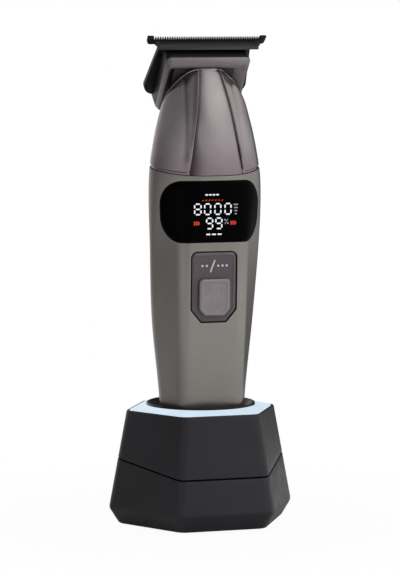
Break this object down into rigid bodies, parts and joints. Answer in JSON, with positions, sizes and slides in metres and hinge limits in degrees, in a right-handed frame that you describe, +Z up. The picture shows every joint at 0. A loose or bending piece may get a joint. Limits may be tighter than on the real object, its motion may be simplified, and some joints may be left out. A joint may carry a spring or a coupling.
{
  "type": "body groomer",
  "caption": "Cordless body groomer with a wide toothed T-blade, a front display and a sliding switch, standing in a hexagonal charging dock with a light ring.",
  "frame": {"origin": "on the surface that the dock stands on, under the middle of the dock", "axes": "+Z up, -Y towards the front with the display, +X to the right seen from the front"},
  "size_m": [0.068, 0.0608, 0.1769],
  "materials": {
    "handle_gunmetal": "satin metallic paint",
    "nose_metal": "satin plated metal",
    "blade_black": "black coated steel",
    "lens_black": "polished black",
    "switch_dark": "satin dark grey",
    "thumb_metal": "satin metallic paint",
    "dock_black": "fine matt black",
    "ring_white": "frosted light guide",
    "liner_grey": "glossy dark grey",
    "rubber": "matt",
    "steel": "plain steel",
    "contact_gold": "gold plated",
    "board_green": "circuit board",
    "inner_plastic": "plain moulding",
    "cell_wrap": "shrink wrap"
  },
  "bodies": {
    "dock": {"dock_lower_shell": "dock_black", "dock_upper_shell": "dock_black", "light_ring": "ring_white", "well_liner": "liner_grey", "dock_base_plate": "dock_black", "dock_board": "board_green", "contact_block": "inner_plastic", "usb_inlet": "steel", "foot_front_left": "rubber", "foot_front_right": "rubber", "foot_back_left": "rubber", "foot_back_right": "rubber", "dock_screw_left": "steel", "dock_screw_right": "steel"},
    "trimmer": {"body_sleeve": "handle_gunmetal", "nose_cone": "nose_metal", "display_lens": "lens_black", "display_board": "board_green", "switch_plate": "switch_dark", "slide_switch": "inner_plastic", "end_cap": "inner_plastic", "charge_pad_left": "contact_gold", "charge_pad_right": "contact_gold", "end_cap_screw_left": "steel", "end_cap_screw_right": "steel", "battery_cell": "cell_wrap", "battery_cradle": "inner_plastic", "main_board": "board_green", "motor_can": "steel", "motor_mount": "inner_plastic", "blade_hood": "nose_metal", "blade_base": "inner_plastic", "fixed_blade": "blade_black", "blade_screw_left": "steel", "blade_screw_right": "steel"},
    "switch": {"switch_thumb": "thumb_metal"},
    "rotor": {"motor_shaft": "steel", "eccentric_cam": "steel"},
    "cutter": {"moving_cutter": "blade_black", "drive_yoke": "inner_plastic"},
    "pin_left": {"contact_pin_left": "contact_gold"},
    "pin_right": {"contact_pin_right": "contact_gold"}
  },
  "joints": [
    {"name": "lift_out", "type": "slide", "parent": "dock", "child": "trimmer", "axis": [0, 0, 1], "range_m": [0, 0.045]},
    {"name": "switch_slide", "type": "slide", "parent": "trimmer", "child": "switch", "axis": [0, -0.0437, 0.999], "range_m": [0, 0.005]},
    {"name": "motor_spin", "type": "hinge", "parent": "trimmer", "child": "rotor", "pos_m": [0, -0.0042, 0.15], "axis": [0, 0, 1], "range_deg": [-70, 70]},
    {"name": "cutter_slide", "type": "slide", "parent": "trimmer", "child": "cutter", "axis": [1, 0, 0], "range_m": [-0.00097, 0.00097]},
    {"name": "pin_left_press", "type": "slide", "parent": "dock", "child": "pin_left", "axis": [0, 0, 1], "range_m": [-0.0008, 0], "stiffness_N_per_m": 200, "springref_m": 0.002},
    {"name": "pin_right_press", "type": "slide", "parent": "dock", "child": "pin_right", "axis": [0, 0, 1], "range_m": [-0.0008, 0], "stiffness_N_per_m": 200, "springref_m": 0.002}
  ],
  "couplings": [
    {"joint": "motor_spin", "follows": "cutter_slide", "rad_per_m": 1250}
  ]
}
